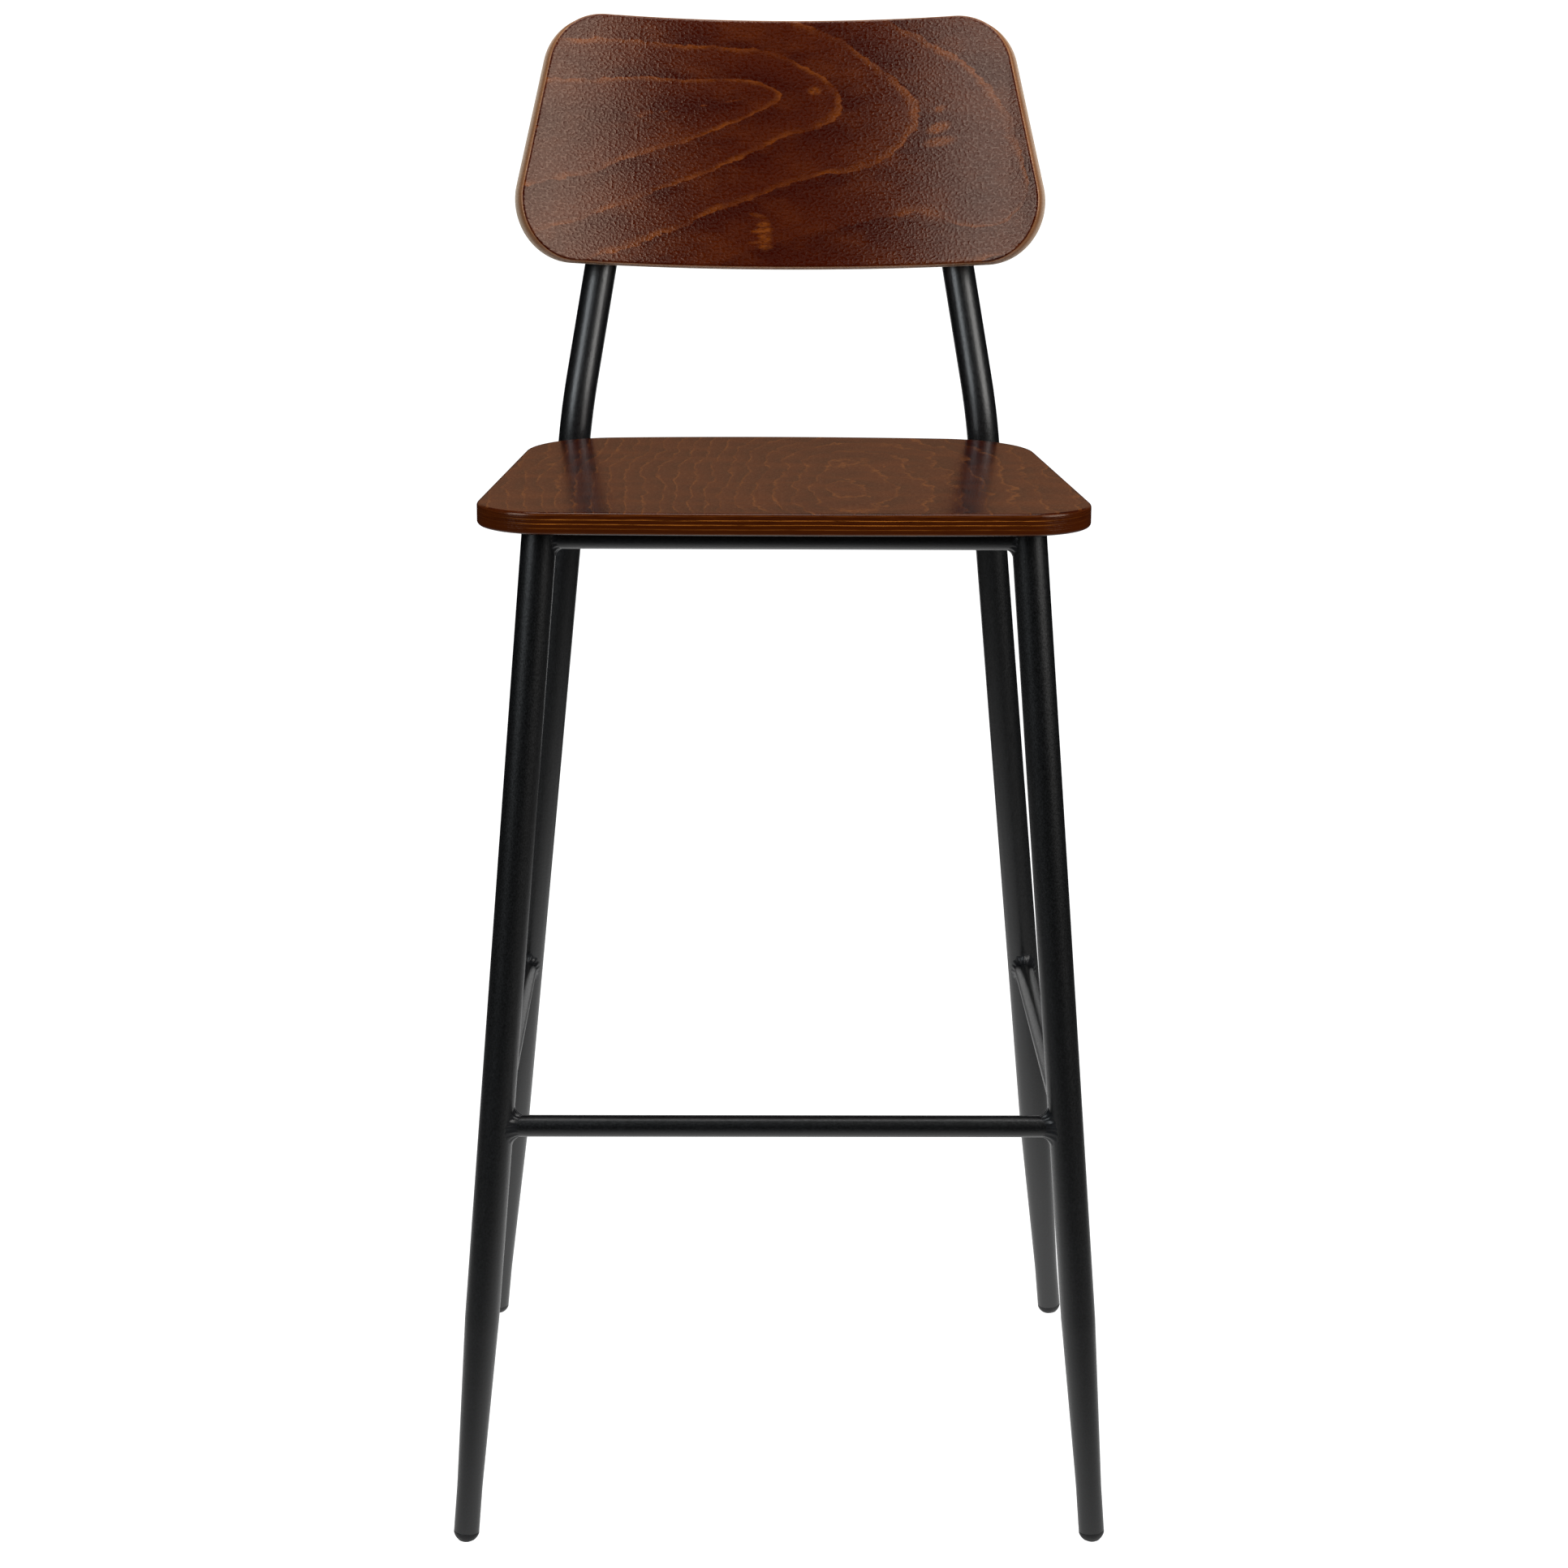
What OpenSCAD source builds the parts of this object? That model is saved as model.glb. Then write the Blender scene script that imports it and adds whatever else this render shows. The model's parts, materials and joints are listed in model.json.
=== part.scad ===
// Bar stool with a footrest: a welded round-tube frame, a plywood seat and a bent plywood backrest.
// Millimetres, +Z up. The origin is on the floor, under the middle of the stool's overall depth.
// The stool faces -Y. Left and right are as seen from the front, so left is -X.

/* [Seat] */
// Height of the seat's top above the floor
seat_height = 776; // [750:1:800]
// Thickness of the seat
seat_t = 16; // [14:1:18]
// Half of the seat's width, where its sides would meet its front edge
seat_front_half = 224; // [218:1:232]
// Half of the seat's width, where its sides would meet its rear edge
seat_rear_half = 190.5; // [184:0.5:196]
// Distance of the front edge ahead of the origin
seat_front = 229; // [222:1:236]
// Distance of the rear edge behind the origin
seat_rear = 134; // [128:1:136]
// Radius of the front corners
seat_front_r = 50; // [30:1:60]
// Radius of the rear corners
seat_rear_r = 75; // [60:1:85]
// Radius of the rear edge's gentle bow
seat_rear_bow_r = 1400; // [1000:50:3000]
// Radius of the front edge's gentle bow
seat_front_bow_r = 5500; // [3000:100:8000]

/* [Backrest] */
// Thickness of the bent panel
back_t = 14; // [12:1:16]
// Radius of the bend, on the face that the sitter leans on
back_bend_r = 411; // [380:1:460]
// Height of the panel, along its own slope
back_h = 197.5; // [180:0.5:215]
// Half of the panel's width along the bend, where its sides would meet its lower edge
back_low_half = 228; // [220:1:236]
// Half of the panel's width along the bend, where its sides would meet its upper edge
back_high_half = 182.5; // [176:0.5:190]
// Radius of the lower corners
back_low_r = 47.5; // [40:0.5:55]
// Radius of the upper corners
back_high_r = 50; // [42:0.5:58]
// Lean of the panel from upright, in degrees
back_lean = 13.65; // [10:0.05:17]
// Height of the panel's lower edge above the floor
back_z = 905; // [890:1:925]
// Distance of the panel's front face behind the origin, at the middle of its lower edge
back_y = 178.5; // [172:0.5:184]

/* [Legs] */
// Outside diameter of the legs and posts
leg_d = 25.4; // [22:0.1:28]
// Wall of the legs and posts
leg_wall = 1.5; // [1.2:0.1:2]
// Diameter of a leg's narrow end
tip_d = 19; // [16:0.1:20]
// Distance along a leg from the floor to where the taper starts to widen
taper_low = 42; // [30:1:60]
// Distance along a leg from the floor to where the taper reaches the full diameter
taper_high = 174; // [150:1:220]
// Half of the distance between the front feet
front_foot_x = 234.5; // [225:0.5:245]
// Distance of the front feet ahead of the origin
front_foot_y = 234.5; // [225:0.5:245]
// Half of the distance between the front legs under the seat
front_top_x = 173.5; // [168:0.5:180]
// Distance of the front legs ahead of the origin, under the seat
front_top_y = 190; // [184:1:196]
// Half of the distance between the rear feet
rear_foot_x = 240; // [230:0.5:248]
// Distance of the rear feet behind the origin
rear_foot_y = 208.5; // [200:0.5:220]
// Height of the bend in the rear posts
knee_z = 795; // [785:1:805]
// Radius of that bend, at the middle of the tube
knee_r = 145; // [100:5:160]

/* [Posts behind the backrest] */
// Half of the distance between the posts at the lower backrest bolts
post_low_x = 136; // [130:0.5:140]
// Half of the distance between the posts at the upper backrest bolts
post_high_x = 120; // [112:0.5:124]
// Height of the lower bolts above the panel's lower edge, along the panel
bolt_low_w = 45; // [35:1:60]
// Height of the upper bolts above the panel's lower edge, along the panel
bolt_high_w = 145; // [130:1:155]
// Length of post above the upper bolts
post_over = 22; // [16:1:28]

/* [Rails] */
// Outside diameter of the footrest, the stretchers and the seat rails
rail_d = 16; // [14:0.1:18]
// Wall of those tubes
rail_wall = 1.2; // [1:0.1:1.6]
// Height of the middle of the footrest and the side stretchers
footrest_z = 320; // [280:1:340]

/* [Fasteners and fittings] */
// Diameter of the seat and backrest screws
screw_d = 6; // [5:1:6]
// Thickness of the steel seat tabs
tab_t = 3; // [2:0.5:4]
// Length of a seat tab, out from the middle of its rail
tab_l = 32; // [28:1:36]
// Width of a seat tab
tab_w = 24; // [20:1:30]
// Distance of the tabs' holes from the front and rear ends of the side rails
tab_inset = 62; // [45:1:80]
// Height of the plastic foot that shows below a leg's end
foot_h = 7; // [5:0.5:9]

/* [Hidden] */
$fn = 48;

LEFT = -1;
RIGHT = 1;
wood = "#5b3421";
steel = "#1c1d1f";
plastic = "#101011";
zinc = "#b9bcc0";
brass = "#b08d4a";

leg_r = leg_d / 2;
tip_r = tip_d / 2;
rail_r = rail_d / 2;
screw_r = screw_d / 2;
seat_under = seat_height - seat_t;
rail_z = seat_under - rail_r;

// Threaded inserts: a plain sleeve round the screw, let into the wood.
insert_r = screw_r + 1.75;
seat_insert_l = 11;
back_insert_l = 10.5;

// Screw heads, washers and the clearance of their holes.
head_r = screw_r + 2.75;
head_h = 3.6;
washer_r = screw_r + 3.5;
washer_t = 1.2;
hole_r = screw_r + 0.3;
screw_bite = 9;

// Plugs and feet: how far their stems go into the tubes.
plug_stem = 15;
plug_rim = 2;
plug_crown = 3;
foot_stem = 14;

seam_turn = 40;

// The posts stand this far off the backrest, the thickness of the paint.
paint_gap = 0.15;

function unit(v) = v / norm(v);
function flip(p, side) = [side * p.x, p.y, p.z];
function point_at_z(p, q, z) = p + (q - p) * (z - p.z) / (q.z - p.z);

// The backrest's own frame: X across, Y back through its thickness, Z up along its slope.
function from_back(p) = [
    p.x,
    back_y + p.y * cos(back_lean) + p.z * sin(back_lean),
    back_z - p.y * sin(back_lean) + p.z * cos(back_lean)
];
// A point in that frame: angle round the bend, height w, and depth behind the front face.
function bent(angle, w, depth) = [
    (back_bend_r + depth) * sin(angle),
    (back_bend_r + depth) * cos(angle) - back_bend_r,
    w
];

// Each post runs straight through the two points where its bolts cross it.
post_depth = back_t + leg_r + paint_gap;
post_low_angle = asin(post_low_x / (back_bend_r + post_depth));
post_high_angle = asin(post_high_x / (back_bend_r + post_depth));
post_low = from_back(bent(post_low_angle, bolt_low_w, post_depth));
post_high = from_back(bent(post_high_angle, bolt_high_w, post_depth));
post_dir = unit(post_high - post_low);
post_top = post_high + post_over * post_dir;
knee = point_at_z(post_low, post_high, knee_z);

// Leg axes, for the right-hand side.
front_foot = [front_foot_x, -front_foot_y, 0];
front_top = [front_top_x, -front_top_y, seat_under];
rear_foot = [rear_foot_x, rear_foot_y, 0];
function front_axis(side, z) = flip(point_at_z(front_foot, front_top, z), side);
function rear_axis(side, z) = flip(point_at_z(rear_foot, knee, z), side);

// Places its children along the line from p to q, with Z along the line. They are all round, and
// the last turn keeps their seams clear of the points where level cuts are steepest.
module along(p, q) {
    d = q - p;
    translate(p)
        rotate([0, acos(d.z / norm(d)), atan2(d.y, d.x)])
            rotate([0, 0, seam_turn])
                children();
}

module mirror_to(side) {
    mirror([side == LEFT ? 1 : 0, 0, 0])
        children();
}

// ---- Seat ----

// Each corner's centre lies inside the side line by its radius, and its circle touches the bow.
seat_side_dir = unit([seat_rear_half - seat_front_half, seat_rear + seat_front]);
seat_side_out = [seat_side_dir.y, -seat_side_dir.x];
front_bow_c = [0, seat_front_bow_r - seat_front];
rear_bow_c = [0, seat_rear - seat_rear_bow_r];
function touching(start, dir, centre, distance, way) =
    let (m = start - centre, b = m * dir, c = m * m - distance * distance)
    start + (way * sqrt(b * b - c) - b) * dir;
function seat_corner(r, bow_c, bow_r, way) =
    touching([seat_front_half, -seat_front] - r * seat_side_out, seat_side_dir, bow_c, bow_r - r, way);
front_corner = seat_corner(seat_front_r, front_bow_c, seat_front_bow_r, -1);
rear_corner = seat_corner(seat_rear_r, rear_bow_c, seat_rear_bow_r, 1);
front_touch = front_corner + seat_front_r * unit(front_corner - front_bow_c);
rear_touch = rear_corner + seat_rear_r * unit(rear_corner - rear_bow_c);
half_outline = [
    front_touch,
    front_corner + seat_front_r * seat_side_out,
    rear_corner + seat_rear_r * seat_side_out,
    rear_touch
];

// The sliver between a bow and the straight line that joins its two corners.
module bow(centre, r, touch, reach) {
    intersection() {
        translate(centre)
            circle(r, $fn = 360);
        translate([-touch.x, min(touch.y, touch.y + reach)])
            square([2 * touch.x, abs(reach)]);
    }
}

module seat_outline() {
    polygon(concat(half_outline, [for (i = [3:-1:0]) [-half_outline[i].x, half_outline[i].y]]));
    for (side = [LEFT, RIGHT]) {
        translate([side * front_corner.x, front_corner.y])
            circle(seat_front_r);
        translate([side * rear_corner.x, rear_corner.y])
            circle(seat_rear_r);
    }
    bow(front_bow_c, seat_front_bow_r, front_touch, -20);
    bow(rear_bow_c, seat_rear_bow_r, rear_touch, 20);
}

module seat_panel() {
    color(wood)
        difference() {
            translate([0, 0, seat_under])
                linear_extrude(seat_t)
                    seat_outline();
            at_seat_screws()
                cylinder(r = insert_r, h = seat_insert_l);
        }
}

// ---- Backrest ----

// The flat outline is symmetric. Heights of its lower and upper edge, at s across from the middle.
back_side_dir = unit([back_high_half - back_low_half, back_h]);
back_side_out = [back_side_dir.y, -back_side_dir.x];
function back_side_x(w) = back_low_half + (back_high_half - back_low_half) * w / back_h;
// A corner's centre is one radius inside the side line and one radius from its edge.
function back_corner(r, w) = [back_side_x(w) - r / back_side_out.x, w];
low_corner = back_corner(back_low_r, back_low_r);
high_corner = back_corner(back_high_r, back_h - back_high_r);
low_tangent = low_corner + back_low_r * back_side_out;
high_tangent = high_corner + back_high_r * back_side_out;
back_widest = low_corner.x + back_low_r;

function on_arc(s, corner, r) = sqrt(max(0, r * r - (s - corner.x) * (s - corner.x)));
function back_lower(s) =
    s <= low_corner.x ? 0 : low_corner.y - on_arc(s, low_corner, back_low_r);
function back_upper(s) =
    s <= high_corner.x ? back_h :
    s <= high_tangent.x ? high_corner.y + on_arc(s, high_corner, back_high_r) :
    s <= low_tangent.x ? (back_low_half - s) * back_h / (back_low_half - back_high_half) :
    low_corner.y + on_arc(s, low_corner, back_low_r);

// Columns across the panel, closer together towards its ends, where the outline turns.
columns = 72;
back_mid_r = back_bend_r + back_t / 2;
back_end_cut = 0.05;
function column_s(i) = (back_widest - back_end_cut) * sin(180 * i / columns - 90);
function column_ring(s) =
    let (angle = s / back_mid_r * 180 / PI, lower = back_lower(abs(s)), upper = back_upper(abs(s)))
    [bent(angle, lower, 0), bent(angle, lower, back_t), bent(angle, upper, back_t), bent(angle, upper, 0)];

module bent_panel() {
    points = [for (i = [0:columns]) each column_ring(column_s(i))];
    sides = [for (i = [0:columns - 1], k = [0:3])
        [4 * i + k, 4 * i + (k + 1) % 4, 4 * i + 4 + (k + 1) % 4, 4 * i + 4 + k]];
    polyhedron(points, concat(sides, [[3, 2, 1, 0], [for (k = [0:3]) 4 * columns + k]]), convexity = 4);
}

// Places its children at each backrest bolt: Z runs into the panel, from the middle of the post.
module at_backrest_bolts(side) {
    for (bolt = [[post_low_angle, bolt_low_w], [post_high_angle, bolt_high_w]])
        along(flip(from_back(bent(bolt[0], bolt[1], post_depth)), side),
              flip(from_back(bent(bolt[0], bolt[1], 0)), side))
            children();
}

module backrest_panel() {
    color(wood)
        difference() {
            translate([0, back_y, back_z])
                rotate([-back_lean, 0, 0])
                    bent_panel();
            for (side = [LEFT, RIGHT])
                at_backrest_bolts(side)
                    translate([0, 0, post_depth - back_t - 1])
                        cylinder(r = insert_r, h = back_insert_l + 1);
        }
}

// ---- Legs and posts ----

// A turned solid: cones and cylinders stacked along Z, from a list of [radius, height] upwards.
module turned(profile) {
    for (i = [0:len(profile) - 2])
        if (profile[i + 1][1] > profile[i][1])
            translate([0, 0, profile[i][1]])
                cylinder(r1 = profile[i][0], r2 = profile[i + 1][0], h = profile[i + 1][1] - profile[i][1]);
}

// A leg's outside, from its narrow end to length l, with Z along its axis, drawn in by inset.
module tapered_rod(l, inset) {
    turned([
        [tip_r - inset, foot_h], [tip_r - inset, taper_low], [leg_r - inset, taper_high], [leg_r - inset, l]
    ]);
}

module tapered_tube(l) {
    difference() {
        tapered_rod(l, 0);
        tapered_rod(l, leg_wall);
    }
}

module ring(r, wall) {
    difference() {
        circle(r);
        circle(r - wall);
    }
}

module front_leg(side) {
    color(steel)
        mirror_to(side)
            difference() {
                along(front_foot, front_top)
                    tapered_tube(norm(front_top - front_foot) + leg_r);
                translate([front_top_x, -front_top_y, seat_under + leg_d])
                    cube(2 * leg_d, center = true);
            }
}

// The bend turns from the leg's direction to the upper post's direction about one centre. Its frame
// has X from that centre out through the middle of the bend, and Y along the tube there.
leg_dir = unit(knee - rear_foot);
bend_angle = acos(leg_dir * post_dir);
bend_reach = knee_r * tan(bend_angle / 2);
bend_start = knee - bend_reach * leg_dir;
bend_end = knee + bend_reach * post_dir;
bend_out = unit(leg_dir - post_dir);
bend_up = unit(leg_dir + post_dir);
bend_side = cross(bend_out, bend_up);
bend_c = knee - knee_r / cos(bend_angle / 2) * bend_out;
bend_frame = [
    [bend_out.x, bend_up.x, bend_side.x, bend_c.x],
    [bend_out.y, bend_up.y, bend_side.y, bend_c.y],
    [bend_out.z, bend_up.z, bend_side.z, bend_c.z],
    [0, 0, 0, 1]
];

// Half of the bend, from its middle at y = 0, and then its children, a straight tube along Z.
module half_bend() {
    spare_turn = 3;
    difference() {
        rotate([0, 0, bend_angle / 2]) {
            translate([knee_r, 0, 0])
                rotate([-90, 0, 0])
                    children();
            mirror([0, 1, 0])
                rotate_extrude(angle = bend_angle / 2 + spare_turn)
                    translate([knee_r, 0])
                        ring(leg_r, leg_wall);
        }
        translate([0, -knee_r, -knee_r])
            cube([2 * knee_r, knee_r, 2 * knee_r]);
    }
}

module bent_tube() {
    leg_l = norm(bend_start - rear_foot);
    half_bend()
        linear_extrude(norm(post_top - bend_end))
            ring(leg_r, leg_wall);
    mirror([0, 1, 0])
        half_bend()
            translate([0, 0, leg_l])
                rotate([180, 0, 0])
                    tapered_tube(leg_l);
}

module rear_post(side) {
    color(steel)
        difference() {
            mirror_to(side)
                multmatrix(bend_frame)
                    bent_tube();
            at_backrest_bolts(side)
                cylinder(r = hole_r, h = 2 * leg_d, center = true);
        }
}

module post_plug(side) {
    color(plastic)
        mirror_to(side)
            along(post_top, post_top + post_dir) {
                translate([0, 0, -plug_stem])
                    cylinder(r = leg_r - leg_wall, h = plug_stem);
                turned([
                    [leg_r, 0], [leg_r, plug_rim], [0.8 * leg_r, plug_rim + 0.7 * plug_crown],
                    [0.4 * leg_r, plug_rim + plug_crown]
                ]);
            }
}

// A moulded foot: a stem in the tube's end, a rim as wide as the tube, and a blunt dome cut flat.
module foot(p, q) {
    color(plastic)
        difference() {
            along(p, q) {
                turned([
                    [0.5 * tip_r, -1.2], [0.7 * tip_r, 0.1 * foot_h], [0.9 * tip_r, 0.45 * foot_h],
                    [tip_r, 0.8 * foot_h], [tip_r, foot_h]
                ]);
                translate([0, 0, foot_h])
                    cylinder(r = tip_r - leg_wall, h = foot_stem);
            }
            translate([p.x, p.y, -leg_r])
                cube(2 * leg_r, center = true);
        }
}

// ---- Rails ----

// A tube from the middle of one leg to the middle of another, its ends cut to lie on both legs.
module rail(p, q) {
    color(steel)
        difference() {
            along(p, q)
                linear_extrude(norm(q - p))
                    ring(rail_r, rail_wall);
            children();
        }
}

module front_leg_core(side) {
    along(flip(front_foot, side), flip(front_top, side))
        cylinder(r = leg_r, h = 1.05 * seat_height);
}

module rear_leg_core(side) {
    along(flip(rear_foot, side), flip(knee, side))
        cylinder(r = leg_r, h = seat_height);
}

module front_rail(z) {
    rail(front_axis(LEFT, z), front_axis(RIGHT, z)) {
        front_leg_core(LEFT);
        front_leg_core(RIGHT);
    }
}

module rear_rail(z) {
    rail(rear_axis(LEFT, z), rear_axis(RIGHT, z)) {
        rear_leg_core(LEFT);
        rear_leg_core(RIGHT);
    }
}

module side_rail(side, z) {
    rail(front_axis(side, z), rear_axis(side, z)) {
        front_leg_core(side);
        rear_leg_core(side);
    }
}

// ---- Seat tabs and their fasteners ----

// Places its children at a tab: origin on the seat's underside over the middle of the side rail,
// X pointing in towards the middle of the stool. The end is 0 at the front and 1 at the rear.
module at_tab(side, end) {
    a = front_axis(side, seat_under);
    b = rear_axis(side, seat_under);
    run = unit(b - a);
    spot = end == 0 ? a + tab_inset * run : b - tab_inset * run;
    translate(spot)
        rotate([0, 0, atan2(run.y, run.x) + side * 90])
            children();
}

module at_seat_screws() {
    for (side = [LEFT, RIGHT], end = [0, 1])
        at_tab(side, end)
            translate([tab_l - tab_w / 2, 0, 0])
                children();
}

module seat_tab(side, end) {
    color(steel)
        difference() {
            at_tab(side, end)
                translate([0, 0, -tab_t])
                    linear_extrude(tab_t)
                        difference() {
                            union() {
                                translate([rail_r / 2, -tab_w / 2])
                                    square([tab_l - tab_w / 2 - rail_r / 2, tab_w]);
                                translate([tab_l - tab_w / 2, 0])
                                    circle(tab_w / 2);
                            }
                            translate([tab_l - tab_w / 2, 0])
                                circle(hole_r);
                        }
            along(front_axis(side, rail_z), rear_axis(side, rail_z))
                cylinder(r = rail_r, h = 2 * (seat_front + seat_rear), center = true);
        }
}

// A screw with a button head: the head lies below z = 0 and the shank runs up from it.
module button_screw(l) {
    rotate_extrude()
        polygon([
            [0, -head_h], [0.55 * head_r, -head_h], [0.88 * head_r, -0.65 * head_h], [head_r, -0.25 * head_h],
            [head_r, 0], [screw_r, 0], [screw_r, l], [0, l]
        ]);
}

module sleeve(l) {
    linear_extrude(l)
        ring(insert_r, insert_r - screw_r);
}

module seat_screws() {
    color(zinc)
        at_seat_screws()
            translate([0, 0, -tab_t - washer_t])
                button_screw(tab_t + washer_t + screw_bite);
}

module seat_washers() {
    color(zinc)
        at_seat_screws()
            translate([0, 0, -tab_t - washer_t])
                linear_extrude(washer_t)
                    ring(washer_r, washer_r - hole_r);
}

module seat_inserts() {
    color(brass)
        at_seat_screws()
            sleeve(seat_insert_l);
}

module backrest_bolts() {
    color(plastic)
        for (side = [LEFT, RIGHT])
            at_backrest_bolts(side)
                translate([0, 0, -leg_r])
                    button_screw(leg_d + paint_gap + screw_bite);
}

module backrest_inserts() {
    color(brass)
        for (side = [LEFT, RIGHT])
            at_backrest_bolts(side)
                translate([0, 0, post_depth - back_t])
                    sleeve(back_insert_l);
}

// ---- The stool ----

seat_panel();
backrest_panel();
front_leg(LEFT);  // front_left_leg
front_leg(RIGHT);  // front_right_leg
rear_post(LEFT);  // rear_left_post
rear_post(RIGHT);  // rear_right_post
front_rail(footrest_z);  // footrest_bar
side_rail(LEFT, footrest_z);  // left_stretcher
side_rail(RIGHT, footrest_z);  // right_stretcher
front_rail(rail_z);  // front_seat_rail
rear_rail(rail_z);  // rear_seat_rail
side_rail(LEFT, rail_z);  // left_seat_rail
side_rail(RIGHT, rail_z);  // right_seat_rail
seat_tab(LEFT, 0);  // front_left_seat_tab
seat_tab(RIGHT, 0);  // front_right_seat_tab
seat_tab(LEFT, 1);  // rear_left_seat_tab
seat_tab(RIGHT, 1);  // rear_right_seat_tab
seat_screws();
seat_washers();
seat_inserts();
backrest_bolts();
backrest_inserts();
post_plug(LEFT);  // left_post_plug
post_plug(RIGHT);  // right_post_plug
foot(flip(front_foot, LEFT), flip(front_top, LEFT));  // front_left_foot
foot(front_foot, front_top);  // front_right_foot
foot(flip(rear_foot, LEFT), flip(knee, LEFT));  // rear_left_foot
foot(rear_foot, knee);  // rear_right_foot
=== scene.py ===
import json
import math

import bmesh
import bpy
from mathutils import Matrix, Vector

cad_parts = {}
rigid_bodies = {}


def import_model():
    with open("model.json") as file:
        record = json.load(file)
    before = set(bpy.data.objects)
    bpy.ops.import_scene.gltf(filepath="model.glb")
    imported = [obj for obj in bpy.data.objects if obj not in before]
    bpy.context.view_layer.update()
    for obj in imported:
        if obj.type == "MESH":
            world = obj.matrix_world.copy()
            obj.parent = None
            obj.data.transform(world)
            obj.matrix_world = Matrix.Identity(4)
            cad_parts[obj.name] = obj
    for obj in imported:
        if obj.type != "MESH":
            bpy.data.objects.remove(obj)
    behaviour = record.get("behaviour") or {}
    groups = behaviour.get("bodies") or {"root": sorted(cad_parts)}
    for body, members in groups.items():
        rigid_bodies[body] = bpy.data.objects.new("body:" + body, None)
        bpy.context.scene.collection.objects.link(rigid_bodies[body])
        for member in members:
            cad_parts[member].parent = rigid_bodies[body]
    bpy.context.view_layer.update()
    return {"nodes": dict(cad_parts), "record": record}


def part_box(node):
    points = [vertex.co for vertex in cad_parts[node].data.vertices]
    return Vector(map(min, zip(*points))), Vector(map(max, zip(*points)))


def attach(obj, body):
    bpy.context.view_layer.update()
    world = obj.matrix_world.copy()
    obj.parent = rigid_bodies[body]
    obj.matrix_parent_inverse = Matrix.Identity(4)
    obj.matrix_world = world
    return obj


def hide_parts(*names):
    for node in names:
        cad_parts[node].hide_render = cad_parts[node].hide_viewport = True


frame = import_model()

# Metres, +Z up, in the frame of the CAD model. The stool faces -Y, and its left side is -X.
MM = 0.001

# ---- What the CAD model says ----

seat_low, seat_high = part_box("seat_panel")
back_low, back_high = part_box("backrest_panel")
SEAT_UNDER = seat_low.z
SEAT_TOP = seat_high.z
SEAT_T = SEAT_TOP - SEAT_UNDER

# The seat's outline: side lines, corner radii and the bows of its front and rear edges.
SEAT_FRONT_HALF = 224 * MM
SEAT_REAR_HALF = 190.5 * MM
SEAT_FRONT_R = 50 * MM
SEAT_REAR_R = 75 * MM
SEAT_FRONT_BOW_R = 5.5
SEAT_REAR_BOW_R = 1.4

# The backrest: a panel bent about one axis and leaning back.
BACK_T = 14 * MM
BACK_R = 411 * MM
BACK_H = 197.5 * MM
BACK_LOW_HALF = 228 * MM
BACK_HIGH_HALF = 182.5 * MM
BACK_LOW_R = 47.5 * MM
BACK_HIGH_R = 50 * MM
BACK_LEAN = math.radians(13.65)
BACK_Z = 905 * MM
BACK_Y = 178.5 * MM

# Legs and tubes, for the right-hand side.
LEG_R = 12.7 * MM
FRONT_FOOT = Vector((0.2345, -0.2345, 0.0))
FRONT_TOP = Vector((0.1735, -0.190, SEAT_UNDER))
REAR_FOOT = Vector((0.240, 0.2085, 0.0))
REAR_KNEE_Z = 795 * MM
RAIL_R = 8 * MM
FOOTREST_Z = sum(corner.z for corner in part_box("footrest_bar")) / 2
RAIL_Z = sum(corner.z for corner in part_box("front_seat_rail")) / 2

POST_LOW_X = 136 * MM
POST_HIGH_X = 120 * MM
BOLT_LOW_W = 45 * MM
BOLT_HIGH_W = 145 * MM
POST_DEPTH = BACK_T + LEG_R + 0.15 * MM
TAB_T = 3 * MM
WASHER_T = 1.2 * MM
HEAD_R = 5.75 * MM
HEAD_H = 3.6 * MM


def lerp(a, b, t):
    return a + (b - a) * t


def at_height(p, q, z):
    return lerp(p, q, (z - p.z) / (q.z - p.z))


def flip(p, side):
    return Vector((side * p.x, p.y, p.z))


def from_back(x, depth, w):
    """A point of the flat backrest frame, X across, depth backwards and w up its slope, in the row frame."""
    c, s = math.cos(BACK_LEAN), math.sin(BACK_LEAN)
    return Vector((x, BACK_Y + depth * c + w * s, BACK_Z - depth * s + w * c))


def bent(angle, w, depth):
    r = BACK_R + depth
    return from_back(r * math.sin(angle), r * math.cos(angle) - BACK_R, w)


def post_bolt(x, w, depth):
    """A point on a backrest bolt's axis, this deep behind the front face."""
    return bent(math.asin(x / (BACK_R + POST_DEPTH)), w, depth)


REAR_KNEE = at_height(
    post_bolt(POST_LOW_X, BOLT_LOW_W, POST_DEPTH),
    post_bolt(POST_HIGH_X, BOLT_HIGH_W, POST_DEPTH),
    REAR_KNEE_Z,
)

# ---- Shader building ----


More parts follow.
